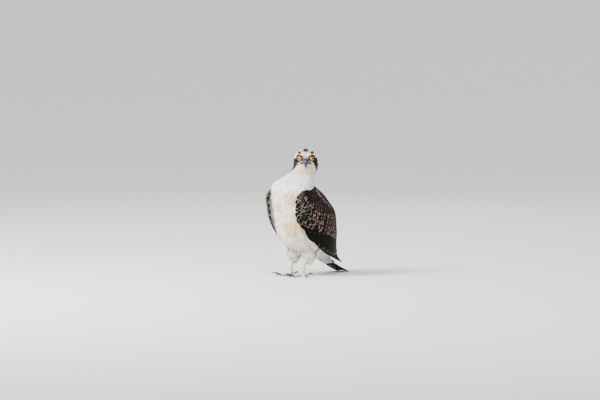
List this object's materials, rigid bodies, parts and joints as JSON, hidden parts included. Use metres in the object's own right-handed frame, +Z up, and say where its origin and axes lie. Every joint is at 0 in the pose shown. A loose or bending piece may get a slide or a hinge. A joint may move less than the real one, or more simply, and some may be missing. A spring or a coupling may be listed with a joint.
{
  "type": "osprey",
  "caption": "Standing osprey at life size with folded wings, its head turned to its left, hooked bill, feathered thighs and long curved claws.",
  "frame": {"origin": "middle of the whole bird's box at the height of the floor it stands on", "axes": "+Z up, the body faces -Y, and +X is the bird's left side"},
  "size_m": [0.2146, 0.33, 0.419],
  "materials": {
    "white_feathers": "soft white feathers with a dark eye band on the head",
    "dark_feathers": "black-brown feathers with pale buff fringes",
    "tail_feathers": "dark brown feathers with grey bars and a pale tip",
    "iris": "clear wet eye with an amber iris and a black pupil",
    "bill_horn": "smooth blue-black horn",
    "leg_skin": "pale blue-grey scaly skin",
    "claw_horn": "polished black horn"
  },
  "bodies": {
    "root": {"head": "white_feathers", "neck": "white_feathers", "torso": "white_feathers", "eye_left": "iris", "eye_right": "iris", "bill_upper": "bill_horn", "bill_lower": "bill_horn", "thigh_left": "white_feathers", "tarsus_left": "leg_skin", "foot_left": "leg_skin", "claw_inner_left": "claw_horn", "claw_middle_left": "claw_horn", "claw_outer_left": "claw_horn", "claw_hind_left": "claw_horn", "wing_left": "dark_feathers", "thigh_right": "white_feathers", "tarsus_right": "leg_skin", "foot_right": "leg_skin", "claw_inner_right": "claw_horn", "claw_middle_right": "claw_horn", "claw_outer_right": "claw_horn", "claw_hind_right": "claw_horn", "wing_right": "dark_feathers", "tail": "tail_feathers"}
  },
  "joints": []
}
